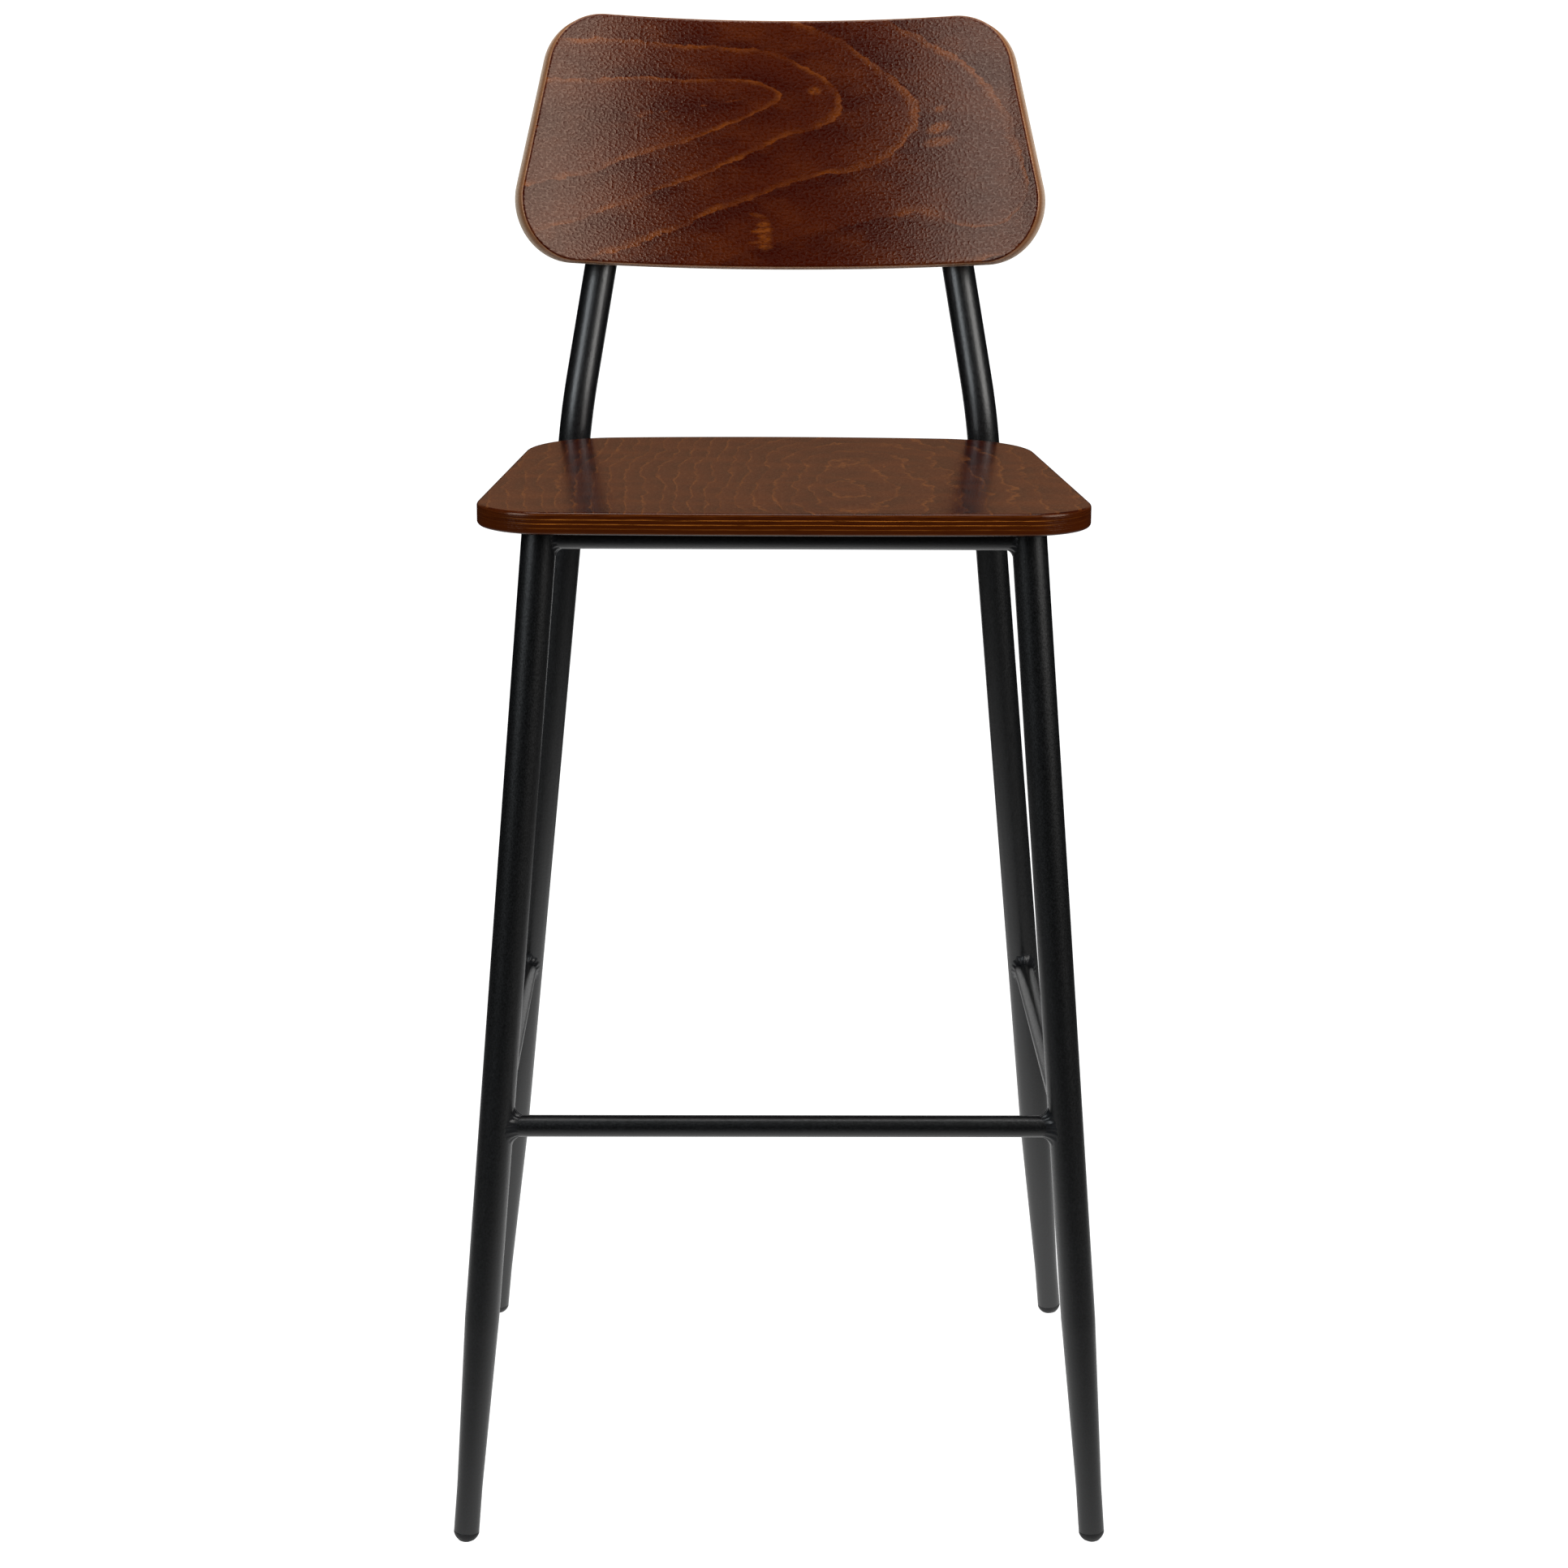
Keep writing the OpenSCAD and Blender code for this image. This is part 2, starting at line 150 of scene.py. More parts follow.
class Shader:
    """A material's node tree, with short calls for the nodes that the looks below use."""

    def __init__(self, name, roughness, **sockets):
        self.material = bpy.data.materials.new(name)
        self.material.use_nodes = True
        self.tree = self.material.node_tree
        self.bsdf = self.tree.nodes["Principled BSDF"]
        self.bsdf.inputs["Roughness"].default_value = roughness
        for socket, value in sockets.items():
            self.bsdf.inputs[socket.replace("_", " ")].default_value = value

    def put(self, socket, value):
        if isinstance(value, bpy.types.NodeSocket):
            self.tree.links.new(value, socket)
        elif value is not None:
            socket.default_value = value

    def node(self, kind, inputs=(), **properties):
        made = self.tree.nodes.new(kind)
        for key, value in properties.items():
            setattr(made, key, value)
        for key, value in dict(inputs).items():
            self.put(made.inputs[key], value)
        return made

    def math(self, operation, a, b=None):
        return self.node("ShaderNodeMath", {0: a, 1: b}, operation=operation).outputs[0]

    def squares(self, a, b):
        """The sum of two squares."""
        return self.math("ADD", self.math("MULTIPLY", a, a), self.math("MULTIPLY", b, b))

    def total(self, first, *others):
        for value in others:
            first = self.math("ADD", first, value)
        return first

    def swing(self, noise, amount):
        """A noise turned into a shift, as much to one side as to the other."""
        return self.math("MULTIPLY", self.math("SUBTRACT", noise, 0.5), amount)

    def scaled(self, vector, *scales):
        """The vector times these scales. A noise read from it is drawn out along the small ones."""
        return self.node("ShaderNodeVectorMath", {0: vector, 1: scales}, operation="MULTIPLY").outputs[0]

    def noise(self, vector, scale, detail=2.0, roughness=0.5):
        inputs = {"Vector": vector, "Scale": scale, "Detail": detail, "Roughness": roughness}
        return self.node("ShaderNodeTexNoise", inputs).outputs["Fac"]

    def smooth(self, value, low, high, out_low=0.0, out_high=1.0):
        inputs = {"Value": value, "From Min": low, "From Max": high, "To Min": out_low, "To Max": out_high}
        return self.node("ShaderNodeMapRange", inputs, interpolation_type="SMOOTHSTEP").outputs[0]

    def mix(self, factor, a, b):
        return self.node("ShaderNodeMix", {0: factor, 6: a, 7: b}, data_type="RGBA").outputs[2]

    def bump(self, height, distance, strength=1.0, normal=None):
        inputs = {"Height": height, "Distance": distance, "Strength": strength, "Normal": normal}
        return self.node("ShaderNodeBump", inputs).outputs[0]

    def out(self, **sockets):
        for socket, value in sockets.items():
            self.put(self.bsdf.inputs[socket.replace("_", " ")], value)
        return self.material


def rgb(r, g, b):
    """A colour from its values on a 0 to 255 display scale."""
    return tuple((v / 255) ** 2.2 for v in (r, g, b)) + (1.0,)


def powder_coat():
    """Black satin powder coat: an orange-peel skin with fine mottling."""
    s = Shader("powder_coat", 0.34, IOR=1.66)
    place = s.node("ShaderNodeTexCoord").outputs["Object"]
    grit = s.noise(place, 900, 3, 0.6)
    patches = s.noise(place, 60, 2)
    colour = s.mix(s.smooth(grit, 0.35, 0.7), rgb(10, 11, 12), rgb(26, 27, 29))
    colour = s.mix(s.smooth(patches, 0.4, 0.7, 0.0, 0.25), colour, rgb(9, 9, 10))
    rough = s.smooth(grit, 0.3, 0.7, 0.3, 0.42)
    skin = s.bump(s.noise(place, 520, 2), 0.00018, 0.4)
    return s.out(Base_Color=colour, Roughness=rough, Normal=s.bump(grit, 0.00008, 0.5, skin))


def weld_coat():
    """The same paint over a weld bead, with a rougher skin."""
    s = Shader("weld_coat", 0.35, IOR=1.5)
    place = s.node("ShaderNodeTexCoord").outputs["Object"]
    grit = s.noise(place, 700, 3, 0.6)
    colour = s.mix(grit, rgb(20, 21, 23), rgb(42, 43, 46))
    return s.out(Base_Color=colour, Normal=s.bump(grit, 0.00025, 0.5))


def moulded_plastic():
    s = Shader("moulded_plastic", 0.5, IOR=1.46)
    place = s.node("ShaderNodeTexCoord").outputs["Object"]
    grain = s.noise(place, 1400, 2)
    colour = s.mix(grain, rgb(14, 14, 15), rgb(30, 30, 32))
    rough = s.smooth(s.noise(place, 130, 3), 0.3, 0.7, 0.42, 0.62)
    return s.out(Base_Color=colour, Roughness=rough, Normal=s.bump(grain, 0.00006, 0.4))


def metal(name, dark, light, low_rough, high_rough, scratches):
    """A turned or plated metal: fine streaks in colour and gloss."""
    s = Shader(name, low_rough, Metallic=1.0)
    place = s.node("ShaderNodeTexCoord").outputs["Object"]
    streak = s.noise(s.scaled(place, 1.0, 1.0, 0.15), scratches, 3)
    colour = s.mix(streak, dark, light)
    rough = s.smooth(streak, 0.3, 0.7, low_rough, high_rough)
    return s.out(Base_Color=colour, Roughness=rough, Normal=s.bump(streak, 0.00004, 0.3))


BRIGHT_PLIES = 5.0
FACE_FROM_MIDDLE = 0.46
PORE_DEPTH = 0.7 * MM


def wood(name, pattern, tones, edge_tones, thickness, gloss, relief, rough, flecks):
    """Stained, lacquered plywood. pattern(s, flat, across, along) gives the height of the growth figure, whose
    whole numbers are the growth lines, and how strong its lines are. tones are the dark, middle and light stain
    and the line's colour. edge_tones are the edge's dark, light and bright plies and its colour at the back, which
    on the backrest is a painted highlight: a pale reflection painted towards the back of its edge.
    relief is how far the pores stand out, and rough is the roughness of the lacquer's specks and of the rest.
    flecks are bright spots: place, length, breadth, slope and strength."""
    dark, middle, light, line = tones
    s = Shader(name, 0.24, IOR=1.5)
    s.bsdf.inputs["Specular IOR Level"].default_value = gloss
    s.bsdf.inputs["Specular Tint"].default_value = (1.0, 0.75, 0.6, 1.0)
    flat = s.node("ShaderNodeAttribute", attribute_name="flat").outputs["Vector"]
    across, along, depth = s.node("ShaderNodeSeparateXYZ", {0: flat}).outputs

    # The face: each growth band runs from dark to light and ends at a thin bright line.
    height, line_strength = pattern(s, flat, across, along)
    band = s.math("FRACT", height)
    tone = s.mix(s.smooth(band, 0.0, 0.8), dark, middle)
    blotch = s.noise(s.scaled(flat, 1.0, 2.0, 1.0), 18, 3, 0.55)
    tone = s.mix(s.smooth(blotch, 0.4, 0.7, 0.0, 0.8), tone, light)
    fibre = s.noise(s.scaled(flat, 1.0, 9.0, 1.0), 90, 5, 0.7)
    tone = s.mix(s.smooth(fibre, 0.38, 0.66, 0.0, 0.45), tone, dark)
    grain = s.noise(s.scaled(flat, 1.0, 3.2, 1.0), 700, 2)
    tone = s.mix(s.smooth(grain, 0.58, 0.75, 0.0, 0.25), tone, light)
    fringe = s.math("MULTIPLY", s.smooth(band, 0.82, 0.985), s.smooth(band, 1.0, 0.98))
    tone = s.mix(s.math("MULTIPLY", fringe, line_strength), tone, line)
    tears = s.noise(s.scaled(flat, 1.0, 3.0, 1.0), 260, 3, 0.6)
    torn = s.smooth(tears, 0.35, 0.6, 0.3, 1.0)
    for x, w, length, breadth, slope, strength in flecks:
        run = s.math("SUBTRACT", across, x)
        rise = s.math("SUBTRACT", s.math("SUBTRACT", along, w), s.math("MULTIPLY", run, slope))
        away = s.squares(s.math("DIVIDE", run, length), s.math("DIVIDE", rise, breadth))
        spot = s.math("MULTIPLY", s.smooth(away, 2.0, 0.0), torn)
        tone = s.mix(s.math("MULTIPLY", spot, strength), tone, line)

    # The edge: plies lie in layers, alternately along the edge and end on to it. The bright ones fade towards both
    # faces and round the corners.
    edge_dark, edge_light, ply_tone, edge_back_tone_and_painted_highlight = edge_tones
    ply = s.math("DIVIDE", depth, thickness)
    wobble = s.swing(s.noise(flat, 9, 2), 0.04)
    layer = s.math("FRACT", s.math("MULTIPLY", s.math("ADD", ply, wobble), BRIGHT_PLIES))
    stripe = s.math("MULTIPLY", s.smooth(layer, 0.38, 0.52), s.smooth(layer, 0.7, 0.58))
    stripe = s.math("MULTIPLY", stripe, s.smooth(ply, 0.18, 0.3, 0.15, 1.0))
    stripe = s.math("MULTIPLY", stripe, s.smooth(ply, 0.75, 0.6, 0.25, 1.0))
    streaks = s.noise(s.scaled(flat, 1.0, 1.0, 60.0), 45, 4, 0.7)
    stripe = s.math("MULTIPLY", stripe, s.smooth(streaks, 0.36, 0.62))
    corner = s.smooth(s.math("ABSOLUTE", across), 0.165, 0.2, 0.9, 0.06)
    side = s.mix(s.smooth(streaks, 0.3, 0.7), edge_dark, edge_light)
    # Towards the back the edge fades to its last edge tone. On the backrest this is a painted highlight, a pale
    # reflection painted into the colour; on the seat it is a plain stain tone.
    side = s.mix(s.smooth(ply, 0.2, 0.9), side, edge_back_tone_and_painted_highlight)
    side = s.mix(s.math("MULTIPLY", stripe, corner), side, ply_tone)
    on_face = s.math("GREATER_THAN", s.math("ABSOLUTE", s.math("SUBTRACT", ply, 0.5)), FACE_FROM_MIDDLE)
    colour = s.mix(on_face, side, tone)

    # The lacquer sinks into the pores, so that its sheen breaks up into specks.
    pores = s.noise(s.scaled(flat, 1.0, 1.5, 1.0), 380, 1)
    gloss_map = s.smooth(pores, 0.52, 0.6, rough[1], rough[0])
    return s.out(Base_Color=colour, Roughness=gloss_map, Normal=s.bump(pores, PORE_DEPTH * relief))


def uneven_lines(s, flat):
    """The strength of growth lines that fade in and out."""
    return s.smooth(s.noise(flat, 34, 3), 0.35, 0.65, 0.08, 0.62)


def tongue_figure(s, flat, across, along):
    """The backrest's figure: nested tongues that point right, round an axis that rises to the middle and falls
    again, and one round island that cuts into them."""
    rise = s.math("SQRT", s.math("ADD", s.math("MULTIPLY", across, across), 0.0004))
    axis = s.math("SUBTRACT", 0.141, s.math("MULTIPLY", rise, 0.19))
    x = s.math("MULTIPLY", s.math("ADD", across, 0.031), 0.5)
    y = s.math("SUBTRACT", along, axis)
    y = s.math("MULTIPLY", y, s.smooth(y, -0.05, 0.0, 1.78, 2.0))
    focus = s.math("SQRT", s.squares(x, y))
    reach = s.math("DIVIDE", s.math("ADD", x, focus), 0.031)
    field = s.math("POWER", reach, 0.706)
    island_x = s.math("DIVIDE", s.math("SUBTRACT", across, 0.176), 0.036)
    island_y = s.math("DIVIDE", s.math("SUBTRACT", along, 0.050), 0.030)
    away = s.squares(island_x, island_y)
    island = s.math("MULTIPLY", s.math("EXPONENT", s.math("MULTIPLY", away, -0.9)), -1.1)
    drift = s.swing(s.noise(flat, 16, 2), 0.42)
    ripple = s.swing(s.noise(s.scaled(flat, 1.0, 2.0, 1.0), 85, 4, 0.6), 0.22)
    height = s.total(field, island, drift, ripple)
    outer = s.math("MULTIPLY", s.smooth(height, 3.2, 3.5), s.smooth(across, 0.12, 0.07))
    return height, s.math("MULTIPLY", uneven_lines(s, flat), s.math("SUBTRACT", 1.0, outer))


def ring_figure(s, flat, across, along):
    """The seat's figure: rings round one eye, stretched from front to back, closer on their left."""
    x = s.math("DIVIDE", s.math("SUBTRACT", across, 0.040), 0.0155)
    y = s.math("DIVIDE", s.math("ADD", along, 0.105), 0.050)
    away = s.math("SQRT", s.squares(x, y))
    skew = s.math("MULTIPLY", x, -0.3)
    drift = s.swing(s.noise(flat, 7, 2), 3.2)
    ripple = s.swing(s.noise(s.scaled(flat, 1.0, 0.5, 1.0), 60, 4, 0.6), 1.3)
    return s.total(away, skew, drift, ripple, 6.0), uneven_lines(s, flat)


# ---- Mesh building ----

CREASE = math.radians(32)


def mesh_object(name, points, faces, flat=None, bm=None):
    """An object from points and faces, or from a bmesh, smooth but for its creases."""
    mesh = bpy.data.meshes.new(name)
    if bm:
        bm.to_mesh(mesh)
    else:
        mesh.from_pydata([tuple(p) for p in points], [], faces)
    mesh.shade_smooth()
    mesh.set_sharp_from_angle(angle=CREASE)
    if flat:
        layer = mesh.attributes.new("flat", "FLOAT_VECTOR", "POINT")
        layer.data.foreach_set("vector", [c for p in flat for c in p])
    made = bpy.data.objects.new(name, mesh)
    bpy.context.scene.collection.objects.link(made)
    return made


def joined_rings(rings, closed=False):
    """Points and faces of a skin over rings of equal length. closed joins the last ring to the first."""
    n = len(rings[0])
    points = [p for ring in rings for p in ring]
    faces = []
    for i in range(len(rings) if closed else len(rings) - 1):
        a, b = i * n, (i + 1) % len(rings) * n
        faces += [(a + k, a + (k + 1) % n, b + (k + 1) % n, b + k) for k in range(n)]
    return points, faces


def dress(piece, material, slot, *nodes):
    """Gives a new piece its material and body, and hides the CAD nodes it stands for. slot is not used."""
    piece.data.materials.append(material)
    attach(piece, "root")
    if nodes:
        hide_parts(*nodes)
    return piece


def axis_frame(direction):
    """Two unit vectors across a direction."""
    d = direction.normalized()
    u = d.orthogonal().normalized()
    return u, d.cross(u)


# ---- Panels ----

OFF_MIDDLE = 0.001
RIM = 0.8 * MM
GROOVE_DEPTH = 0.05 * MM
GROOVE_HALF = 0.2 * MM
GROOVE_CLEAR = 0.3 * MM


def arc(centre, r, start, end, steps):
    """Points and outward directions along an arc, from one direction to another, turning to the left."""
    a, b = math.atan2(start.y, start.x), math.atan2(end.y, end.x)
    b += 2 * math.pi if b < a else 0
    turns = [lerp(a, b, i / steps) for i in range(steps + 1)]
    outs = [Vector((math.cos(t), math.sin(t))) for t in turns]
    return [(centre + r * out, out) for out in outs]


def mirrored(half):
    """A whole outline, anticlockwise, from its right half, which runs from one middle to the other."""
    other = [(Vector((-p.x, p.y)), Vector((-n.x, n.y))) for p, n in reversed(half)]
    return half + other


def touching(start, direction, centre, distance, way):
    """The point on a line at that distance from a centre."""
    m = start - centre
    b = m.dot(direction)
    return start + (way * math.sqrt(b * b - m.dot(m) + distance * distance) - b) * direction


def seat_outline():
    """The seat's outline from above. Its bows start and end a little beside the middle, at OFF_MIDDLE radians."""
    front, rear = seat_low.y, seat_high.y
    along_side = Vector((SEAT_REAR_HALF - SEAT_FRONT_HALF, rear - front)).normalized()
    out = Vector((along_side.y, -along_side.x))
    front_bow = Vector((0, front + SEAT_FRONT_BOW_R))
    rear_bow = Vector((0, rear - SEAT_REAR_BOW_R))
    start = Vector((SEAT_FRONT_HALF, front))
    a = touching(start - SEAT_FRONT_R * out, along_side, front_bow, SEAT_FRONT_BOW_R - SEAT_FRONT_R, -1)
    b = touching(start - SEAT_REAR_R * out, along_side, rear_bow, SEAT_REAR_BOW_R - SEAT_REAR_R, 1)
    half = arc(front_bow, SEAT_FRONT_BOW_R, Vector((OFF_MIDDLE, -1)), a - front_bow, 12)
    half += arc(a, SEAT_FRONT_R, a - front_bow, out, 24)
    half += arc(b, SEAT_REAR_R, out, b - rear_bow, 28)
    half += arc(rear_bow, SEAT_REAR_BOW_R, b - rear_bow, Vector((OFF_MIDDLE, 1)), 12)
    return mirrored(half)


def back_outline():
    """The flat outline of the backrest, w upwards, from the middle of the lower edge."""
    along_side = Vector((BACK_HIGH_HALF - BACK_LOW_HALF, BACK_H)).normalized()
    out = Vector((along_side.y, -along_side.x))

    def corner(r, w):
        return Vector((lerp(BACK_LOW_HALF, BACK_HIGH_HALF, w / BACK_H) - r / out.x, w))

    a, b = corner(BACK_LOW_R, BACK_LOW_R), corner(BACK_HIGH_R, BACK_H - BACK_HIGH_R)
    down, up = Vector((0, -1)), Vector((0, 1))
    half = [(Vector((a.x * i / 24, 0)), down) for i in range(24)]
    half += arc(a, BACK_LOW_R, down, out, 26)
    half += arc(b, BACK_HIGH_R, out, up, 26)
    half += [(Vector((b.x * (1 - i / 20), BACK_H)), up) for i in range(1, 21)]
    return mirrored(half)[:-1]


def edge_profile(thickness, round_r, plies):
    """(inset, depth) steps round a panel's edge, from its face to its back: a flat rim, a round-over, a side
    with a hair's groove between plies, and the other round-over."""
    angles = [math.pi / 2 * i / 6 for i in range(7)]
    turn = [(round_r * (1 - math.sin(t)), round_r * (1 - math.cos(t))) for t in angles]
    steps = [(round_r + RIM, 0.0)] + turn
    for i in range(1, plies):
        middle = thickness * i / plies
        if round_r + GROOVE_CLEAR < middle < thickness - round_r - GROOVE_CLEAR:
            steps += [(0.0, middle - GROOVE_HALF), (GROOVE_DEPTH, middle), (0.0, middle + GROOVE_HALF)]
    steps += [(inset, thickness - depth) for inset, depth in reversed(turn)]
    return steps + [(round_r + RIM, thickness)]


def panel(name, outline, thickness, round_r, plies, place, cuts=()):
    """A plywood panel from its flat outline. place(x, w, depth) sets each point in the row frame. The two faces
    are cut across at each of cuts, so that they can bend. The flat coordinates are kept as an attribute."""
    rings = []
    for inset, depth in edge_profile(thickness, round_r, plies):
        rings.append([(p.x - inset * n.x, p.y - inset * n.y, depth) for p, n in outline])
    flat, faces = joined_rings(rings)
    n = len(outline)
    bm = bmesh.new()
    verts = [bm.verts.new(p) for p in flat]
    for face in faces:
        bm.faces.new([verts[i] for i in face])
    caps = [bm.faces.new(verts[:n]), bm.faces.new(verts[-n:])]
    geometry = caps + [e for f in caps for e in f.edges] + [v for f in caps for v in f.verts]
    for x in cuts:
        cut = bmesh.ops.bisect_plane(bm, geom=geometry, dist=1e-7, plane_co=(x, 0, 0), plane_no=(1, 0, 0))
        geometry = cut["geom"]
    flat = [tuple(v.co) for v in bm.verts]
    for v in bm.verts:
        v.co = place(*v.co)
    bmesh.ops.recalc_face_normals(bm, faces=bm.faces)
    made = mesh_object(name, [], [], bm=bm, flat=flat)
    bm.free()
    return made


def place_seat(x, y, depth):
    return Vector((x, y, SEAT_TOP - depth))


def place_back(x, w, depth):
    return bent(x / (BACK_R + BACK_T / 2), w, depth)


# ---- Turned pieces, fasteners and welds ----

# A weld's reach along the leg, round it and along the rail, and how hollow (0) or full (1) its skin is.
WELD_UP = 6.5 * MM
WELD_ROUND = 2.2 * MM
WELD_ALONG = 5.5 * MM
WELD_FULL = 0.4
WELD_ROOT = 1.2 * MM
WELD_SINK = 1.5 * MM
FINE_RIPPLE = 0.11
SLOW_RIPPLE = 0.09


def turned(base, direction, profile, sides=64, floor=None):
    """Points and faces of a turned solid. profile runs from one end to the other as (radius, height), or as
    (apothem, height, True) for a six-sided ring. floor cuts it flat at that height of the row frame."""
    d = direction.normalized()
    u, v = axis_frame(d)
    rings = []
    for r, h, *six_sided in profile:
        ring = []
        for k in range(sides):
            t = 2 * math.pi * k / sides
            reach = r / math.cos(t % (math.pi / 3) - math.pi / 6) if six_sided else r
            ring.append(base + d * h + reach * (math.cos(t) * u + math.sin(t) * v))
        rings.append(ring)
    if floor is not None:
        rings = [[Vector((p.x, p.y, max(p.z, floor))) for p in ring] for ring in rings]
    points, faces = joined_rings(rings)
    last = len(points) - sides
    return points, faces + [tuple(reversed(range(sides))), tuple(range(last, last + sides))]


def together(name, solids):
    """One object from several solids' points and faces."""
    points, faces = [], []
    for more_points, more_faces in solids:
        faces += [tuple(i + len(points) for i in face) for face in more_faces]
        points += more_points
    return mesh_object(name, points, faces)


def socket_screw(seat, direction, length):
    """A button-head screw with a six-sided socket. seat is the point under its head, and the shank runs on."""
    shank, socket = 3 * MM, 2 * MM
    return turned(seat, direction, [
        (shank - 0.6 * MM, length), (shank, length - 0.6 * MM), (shank, 0.2 * MM), (shank + 0.2 * MM, 0),
        (HEAD_R - 0.3 * MM, 0), (HEAD_R, -0.08 * HEAD_H), (HEAD_R, -0.25 * HEAD_H),
        (0.97 * HEAD_R, -0.45 * HEAD_H), (0.88 * HEAD_R, -0.68 * HEAD_H), (0.74 * HEAD_R, -0.88 * HEAD_H),
        (0.56 * HEAD_R, -HEAD_H), (socket + 0.25 * MM, -HEAD_H, True), (socket, 0.25 * MM - HEAD_H, True),
        (socket, 2.2 * MM - HEAD_H, True),
    ])


def on_leg(start, direction, leg_point, leg_direction):
    """How far along a line from inside a leg its surface is."""
    def across(w):
        return w - w.dot(leg_direction) * leg_direction

    w, d = across(start - leg_point), across(direction)
    b, c = w.dot(d) / d.dot(d), (w.dot(w) - LEG_R * LEG_R) / d.dot(d)
    return math.sqrt(b * b - c) - b


def weld_bead(p, q, leg_direction, size, phase):
    """A weld fillet round the end of the rail from p, on a leg's axis, towards q. It follows the curve where the
    rail meets the leg, reaches further along the leg than round it, and ripples."""
    d = (q - p).normalized()
    u, v = axis_frame(d)
    rings = []
    for k in range(120):
        t = 2 * math.pi * k / 120
        out = math.cos(t) * u + math.sin(t) * v
        fine, slow = math.sin(15 * t + phase), math.sin(3 * t + 2.1 * phase)
        ripple = size + FINE_RIPPLE * fine + SLOW_RIPPLE * slow
        spread = lerp(WELD_ROUND, WELD_UP, out.dot(leg_direction) ** 2) * ripple

        def on_skin(r):
            start = p + r * out
            return start + d * on_leg(start, d, p, leg_direction)

        seam, foot = on_skin(RAIL_R), on_skin(RAIL_R + spread)
        end = seam + WELD_ALONG * ripple * d
        control = lerp(seam, lerp(foot, end, 0.5), WELD_FULL)
        skin = [lerp(lerp(foot, control, i / 8), lerp(control, end, i / 8), i / 8) for i in range(9)]
        root = -WELD_ROOT * out
        rings.append(skin + [end + root, seam + root - WELD_SINK * d, foot - WELD_SINK * d])
    points, faces = joined_rings(rings, closed=True)
    return [Vector((point.x, point.y, min(point.z, SEAT_UNDER))) for point in points], faces


# ---- The pieces ----

paint = powder_coat()
weld_paint = weld_coat()
plastic = moulded_plastic()
zinc = metal("zinc_plate", rgb(150, 152, 156), rgb(205, 206, 208), 0.22, 0.4, 500)
brass = metal("turned_brass", rgb(150, 112, 52), rgb(206, 168, 96), 0.25, 0.4, 600)
black_oxide = metal("black_oxide", rgb(22, 22, 24), rgb(52, 52, 56), 0.3, 0.48, 700)
BACK_FLECKS = [
    (0.131, 0.124, 0.004, 0.0025, 0.2, 0.6), (0.130, 0.109, 0.009, 0.004, 0.2, 0.75),
    (0.131, 0.098, 0.012, 0.0035, 0.1, 0.6), (0.028, 0.141, 0.005, 0.003, 0.0, 0.6),
    (-0.018, 0.0415, 0.006, 0.0016, -0.2, 0.35), (-0.0135, 0.0345, 0.005, 0.0018, 0.1, 0.6),
    (-0.0145, 0.0295, 0.008, 0.0018, 0.1, 0.7), (-0.0125, 0.024, 0.005, 0.0016, -0.2, 0.5),
    (-0.0165, 0.0205, 0.009, 0.0014, 0.1, 0.35), (-0.012, 0.0165, 0.006, 0.0016, 0.0, 0.45),
    (-0.012, 0.026, 0.005, 0.011, 0.0, 0.35),
]
SEAT_FLECKS = [(-0.174, -0.013, 0.004, 0.006, 0.0, 0.45)]
back_wood = wood(
    "walnut_backrest", tongue_figure,
    (rgb(60, 17, 6), rgb(76, 28, 11), rgb(92, 40, 16), rgb(142, 74, 26)),
    # The last edge tone, near-white, is a painted highlight: a reflection painted towards the back of the edge.
    (rgb(132, 84, 54), rgb(176, 126, 90), rgb(196, 150, 110), rgb(232, 206, 182)), BACK_T,
    0.5, 0.6, (0.1, 0.32), BACK_FLECKS,
)
seat_wood = wood(
    "walnut_seat", ring_figure,
    (rgb(44, 12, 6), rgb(62, 22, 9), rgb(84, 38, 15), rgb(134, 78, 34)),
    (rgb(58, 22, 8), rgb(92, 44, 16), rgb(222, 132, 52), rgb(80, 36, 12)), SEAT_T,
    0.36, 0.05, (0.17, 0.25), SEAT_FLECKS,
)

SEAT_ROUND, SEAT_PLIES = 2.6 * MM, 11
BACK_ROUND, BACK_PLIES = 2.4 * MM, 9
seat = panel("plywood_seat", seat_outline(), SEAT_T, SEAT_ROUND, SEAT_PLIES, place_seat)
dress(seat, seat_wood, "seat_wood", "seat_panel")

# The cuts reach past the panel's edges, as it is wider flat than bent.
COLUMNS = 84
FLAT_OVER_BENT = 1.06
widest = (back_high.x - back_low.x) / 2
bends = [widest * FLAT_OVER_BENT * (2 * i / COLUMNS - 1) for i in range(COLUMNS + 1)]
backrest = panel("bent_plywood_backrest", back_outline(), BACK_T, BACK_ROUND, BACK_PLIES, place_back, bends)
dress(backrest, back_wood, "back_wood", "backrest_panel")

SIDES = {"left": -1, "right": 1}
FRONT_DIRECTION = (FRONT_TOP - FRONT_FOOT).normalized()
REAR_DIRECTION = (REAR_KNEE - REAR_FOOT).normalized()


def front_axis(side, z):
    return flip(at_height(FRONT_FOOT, FRONT_TOP, z), side)


def rear_axis(side, z):
    return flip(at_height(REAR_FOOT, REAR_KNEE, z), side)


def rail_welds(rail, p, q, p_leg, q_leg, size, order):
    """The two welds of one rail. The rail's number sets where their ripples fall."""
    solids = [weld_bead(p, q, p_leg, size, order), weld_bead(q, p, q_leg, size, order + 0.5)]
    dress(together("welds_" + rail, solids), weld_paint, "frame_paint")


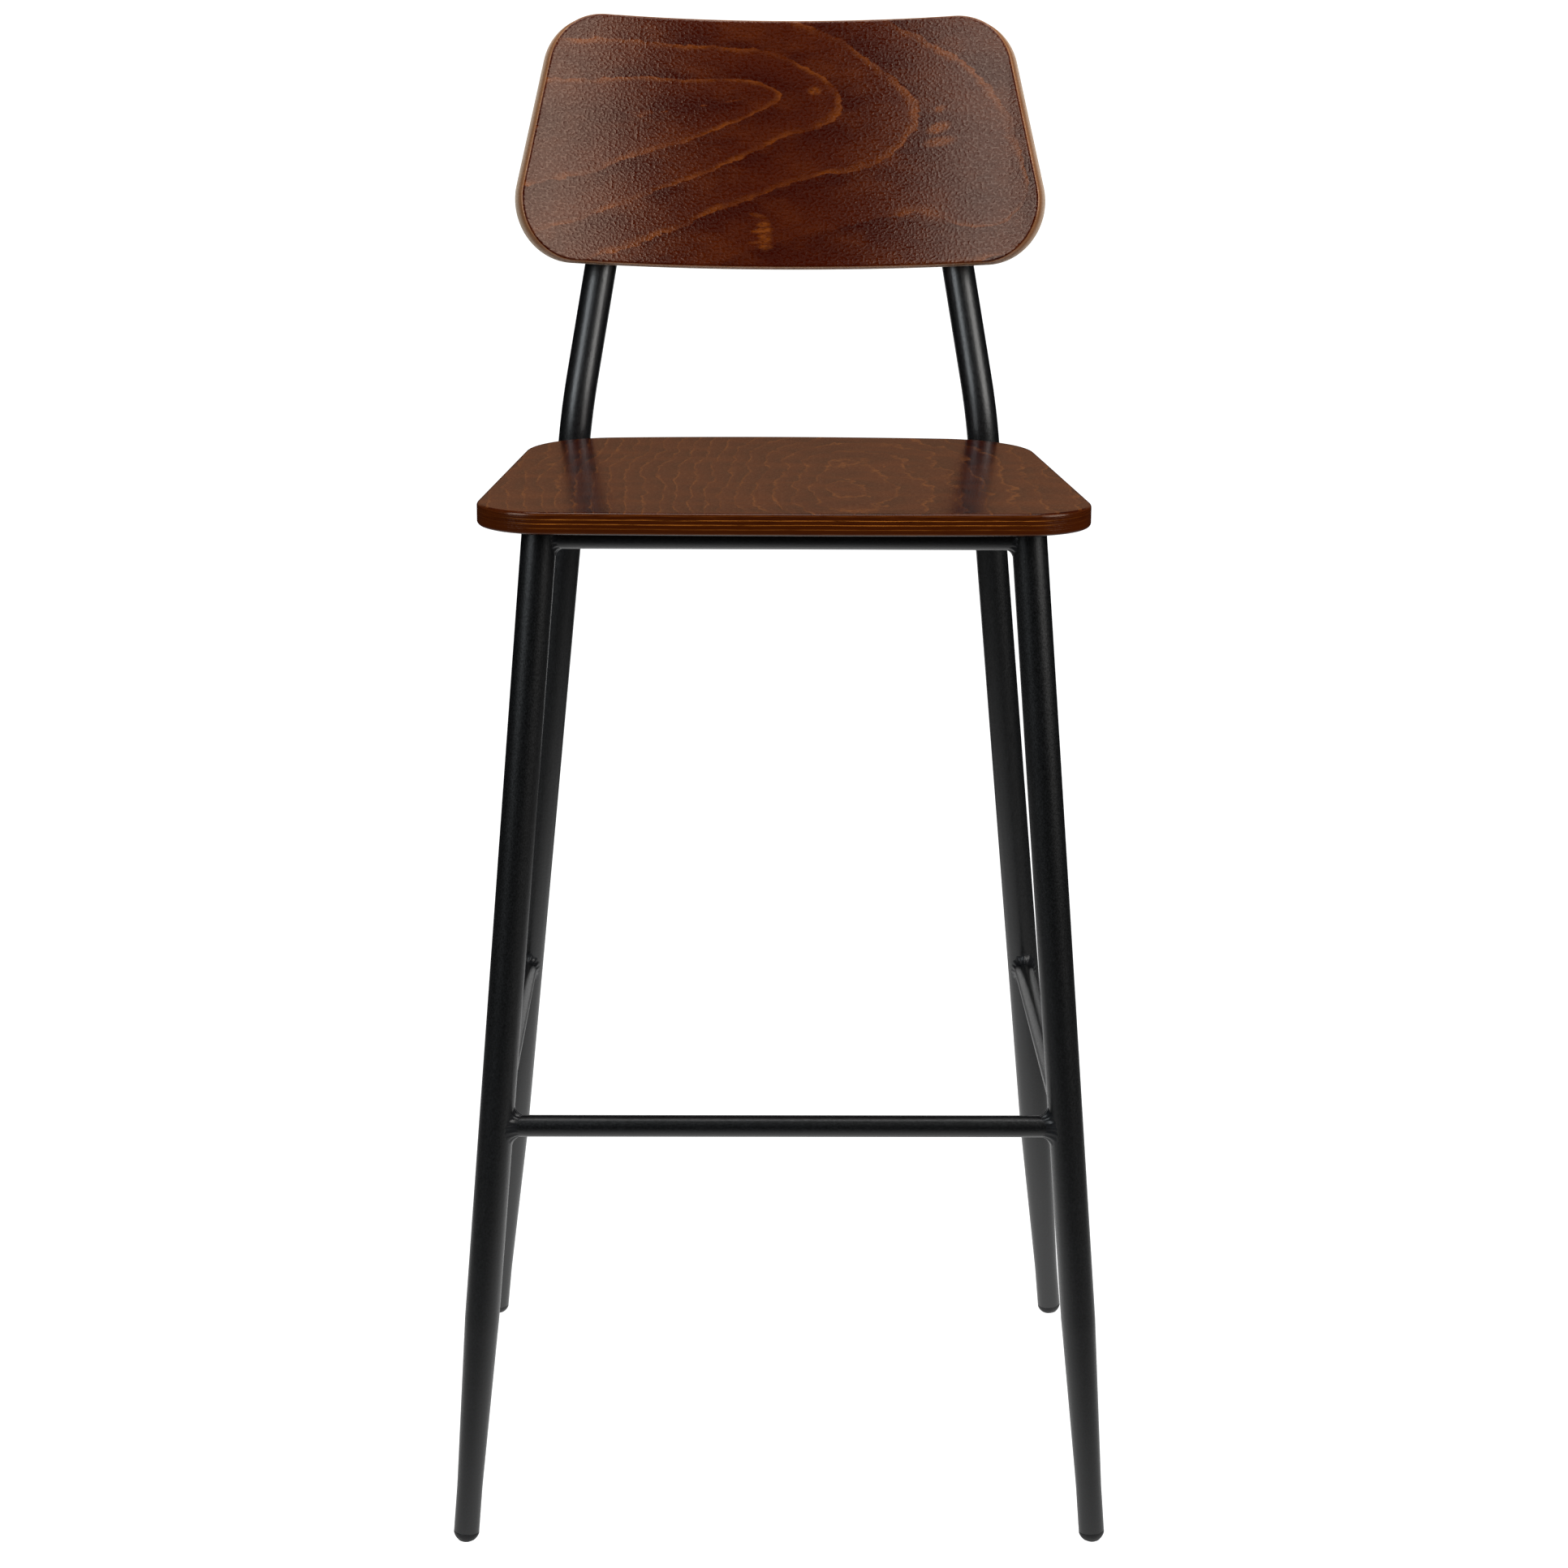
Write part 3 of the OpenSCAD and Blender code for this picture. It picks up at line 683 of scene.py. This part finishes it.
FOOTREST_WELD = 1.0
SEAT_RAIL_WELD = 0.6
front_legs = flip(FRONT_DIRECTION, -1), FRONT_DIRECTION
rear_legs = flip(REAR_DIRECTION, -1), REAR_DIRECTION
ends = front_axis(-1, FOOTREST_Z), front_axis(1, FOOTREST_Z)
rail_welds("footrest_bar", *ends, *front_legs, FOOTREST_WELD, 0)
ends = front_axis(-1, RAIL_Z), front_axis(1, RAIL_Z)
rail_welds("front_seat_rail", *ends, *front_legs, SEAT_RAIL_WELD, 1)
ends = rear_axis(-1, RAIL_Z), rear_axis(1, RAIL_Z)
rail_welds("rear_seat_rail", *ends, *rear_legs, SEAT_RAIL_WELD, 2)
for order, (name, side) in enumerate(SIDES.items()):
    legs = flip(FRONT_DIRECTION, side), flip(REAR_DIRECTION, side)
    low = front_axis(side, FOOTREST_Z), rear_axis(side, FOOTREST_Z)
    high = front_axis(side, RAIL_Z), rear_axis(side, RAIL_Z)
    rail_welds(name + "_stretcher", *low, *legs, FOOTREST_WELD, 3 + order)
    rail_welds(name + "_seat_rail", *high, *legs, SEAT_RAIL_WELD, 5 + order)

# Feet: a domed cap with a softened seam, and its stem in the tube, as shares of the tip's radius and height.
TIP_R = 9.5 * MM
FOOT_H = 7 * MM
FOOT = [
    (0.35, -0.17), (0.50, -0.17), (0.60, -0.04), (0.70, 0.10), (0.81, 0.27), (0.90, 0.45), (0.96, 0.62),
    (1.0, 0.80), (1.0, 0.95), (0.97, 1.0), (0.83, 1.0), (0.83, 2.9), (0.75, 3.0),
]
foot_profile = [(r * TIP_R, h * FOOT_H) for r, h in FOOT]
for name, side in SIDES.items():
    for end, foot, direction in (("front", FRONT_FOOT, FRONT_DIRECTION), ("rear", REAR_FOOT, REAR_DIRECTION)):
        solid = turned(flip(foot, side), flip(direction, side), foot_profile, floor=0.0)
        node = f"{end}_{name}_foot"
        dress(together("capped_" + node, [solid]), plastic, "black_plastic", node)

# Backrest bolts, from behind the posts, and seat screws, from under the tabs. THREAD is their length in the wood.
THREAD = 9 * MM
bolts = []
for side in SIDES.values():
    for x, w in ((POST_LOW_X, BOLT_LOW_W), (POST_HIGH_X, BOLT_HIGH_W)):
        head = post_bolt(x, w, POST_DEPTH + LEG_R)
        tip = post_bolt(x, w, 0)
        bolts.append(socket_screw(flip(head, side), flip(tip - head, side), 2 * LEG_R + THREAD))
dress(together("socket_backrest_bolts", bolts), black_oxide, "black_steel", "backrest_bolts")

screws = []
TAB_INSET = 62 * MM
TAB_REACH = 20 * MM
for side in SIDES.values():
    front, rear = front_axis(side, SEAT_UNDER), rear_axis(side, SEAT_UNDER)
    run = (rear - front).normalized()
    inwards = Vector((-side * run.y, side * run.x, 0))
    for spot in (front + TAB_INSET * run, rear - TAB_INSET * run):
        under = spot + TAB_REACH * inwards - Vector((0, 0, TAB_T + WASHER_T))
        screws.append(socket_screw(under, Vector((0, 0, 1)), TAB_T + WASHER_T + THREAD))
dress(together("socket_seat_screws", screws), zinc, "zinc_steel", "seat_screws")

# The CAD pieces that stay: smooth skins, and the material of their slot.
CAD_CREASE = math.radians(35)
CAD_MERGE = 0.002 * MM
LOOKS = {"frame_paint": paint, "black_plastic": plastic, "zinc_steel": zinc, "insert_brass": brass}
for part in frame["record"]["subparts"]:
    node = frame["nodes"][part["node"]]
    if node.hide_render:
        continue
    node.data.materials.clear()
    node.data.materials.append(LOOKS[part["material_slot"]])
    node.data.shade_smooth()
    weld = node.modifiers.new("weld", "WELD")
    weld.merge_threshold = CAD_MERGE
    split = node.modifiers.new("creases", "EDGE_SPLIT")
    split.split_angle = CAD_CREASE

# ---- Camera ----

CAMERA_PLACE = (-0.03486, -2.6977, 1.2022)
SENSOR_MM, LENS_MM = 36, 82.17
HEADING, PITCH, ROLL = 0.0142, 0.2462, -0.006

camera_data = bpy.data.cameras.new("camera")
camera_data.sensor_width = SENSOR_MM
camera_data.lens = LENS_MM
camera = bpy.data.objects.new("camera", camera_data)
bpy.context.scene.collection.objects.link(camera)
forward = Vector((
    math.sin(HEADING) * math.cos(PITCH), math.cos(HEADING) * math.cos(PITCH), -math.sin(PITCH),
))
level = Vector((math.cos(HEADING), -math.sin(HEADING), 0))
down = forward.cross(level)
across = math.cos(ROLL) * level + math.sin(ROLL) * down
below = math.cos(ROLL) * down - math.sin(ROLL) * level
turn = Matrix((across, -below, -forward)).transposed().to_4x4()
camera.matrix_world = Matrix.Translation(CAMERA_PLACE) @ turn
bpy.context.scene.camera = camera

# ---- Floor and light ----


def area_light(name, place, aim, width, height, power, colour):
    data = bpy.data.lights.new(name, "AREA")
    data.shape = "RECTANGLE"
    data.size, data.size_y = width, height
    data.energy = power
    data.color = colour
    light = bpy.data.objects.new(name, data)
    light.location = place
    light.visible_camera = False
    light.rotation_euler = (Vector(aim) - Vector(place)).to_track_quat("-Z", "Y").to_euler()
    bpy.context.scene.collection.objects.link(light)
    return light


def light_only(light, *looks):
    """Keeps a light to the pieces that wear one of these materials."""
    group = bpy.data.collections.new(light.name + "_pieces")
    for piece in bpy.context.scene.objects:
        if piece.type == "MESH" and piece.data.materials and piece.data.materials[0] in looks:
            group.objects.link(piece)
    light.light_linking.receiver_collection = group


# Each light's place, the point it faces, its width, height and power, and its colour. The softboxes stand before
# the stool and face the backrest. The cards stand behind it: one edges the tubes, the other warms the wood.
BACKREST_SPOT = (0, 0.17, 1.0)
area_light("right_softbox", (1.58, -1.06, 1.64), BACKREST_SPOT, 1.15, 1.5, 26, (1.0, 0.985, 0.96))
area_light("left_softbox", (-1.41, -1.24, 1.64), BACKREST_SPOT, 0.95, 1.5, 20, (0.9, 0.96, 1.0))
area_light("overhead", (0.0, -0.1, 2.4), (0, -0.05, 0.776), 1.2, 1.0, 14, (1.0, 1.0, 1.0))
white_card = area_light("white_card", (0.0, 1.9, 0.52), (0, 0.0, 0.52), 1.6, 0.95, 3.8, (1.0, 1.0, 1.0))
warm_card = area_light("warm_card", (0.0, 1.9, 1.45), (0, 0.0, 0.8), 3.0, 0.9, 2.75, (1.0, 0.5, 0.26))
light_only(white_card, paint, weld_paint)
light_only(warm_card, seat_wood, back_wood)

# The floor shows white to the camera. Only a pool of it, round a point behind the stool's middle, lights the stool.
FLOOR_REACH = 80
FLOOR_Z = -0.2 * MM
POOL_MIDDLE = (0.0, 0.35, 0.0)
POOL_END, POOL_FULL = 1.35, 0.2
SEEN_GLOW = 1.2
ROOM_GLOW = 0.015
corners = ((-1, -1), (1, -1), (1, 1), (-1, 1))
floor = mesh_object("floor", [(x * FLOOR_REACH, y * FLOOR_REACH, FLOOR_Z) for x, y in corners], [(0, 1, 2, 3)])
s = Shader("pale_floor", 0.9, Base_Color=rgb(95, 95, 95))
seen = s.node("ShaderNodeLightPath").outputs["Is Camera Ray"]
spot = s.node("ShaderNodeTexCoord").outputs["Object"]
distance = s.node("ShaderNodeVectorMath", {0: spot, 1: POOL_MIDDLE}, operation="DISTANCE")
pool = s.smooth(distance.outputs["Value"], POOL_END, POOL_FULL)
glow = s.math("MAXIMUM", pool, s.math("MULTIPLY", seen, SEEN_GLOW))
s.bsdf.inputs["Emission Color"].default_value = (1, 1, 1, 1)
floor.data.materials.append(s.out(Emission_Strength=glow))

world = bpy.data.worlds.new("studio")
bpy.context.scene.world = world
world.use_nodes = True
tree = world.node_tree
seen = tree.nodes.new("ShaderNodeLightPath").outputs["Is Camera Ray"]
strength = tree.nodes.new("ShaderNodeMapRange")
strength.inputs["To Min"].default_value = ROOM_GLOW
strength.inputs["To Max"].default_value = 1.0
tree.links.new(seen, strength.inputs["Value"])
tree.links.new(strength.outputs[0], tree.nodes["Background"].inputs["Strength"])
tree.nodes["Background"].inputs["Color"].default_value = (1, 1, 1, 1)
bpy.context.scene.view_settings.view_transform = "Standard"
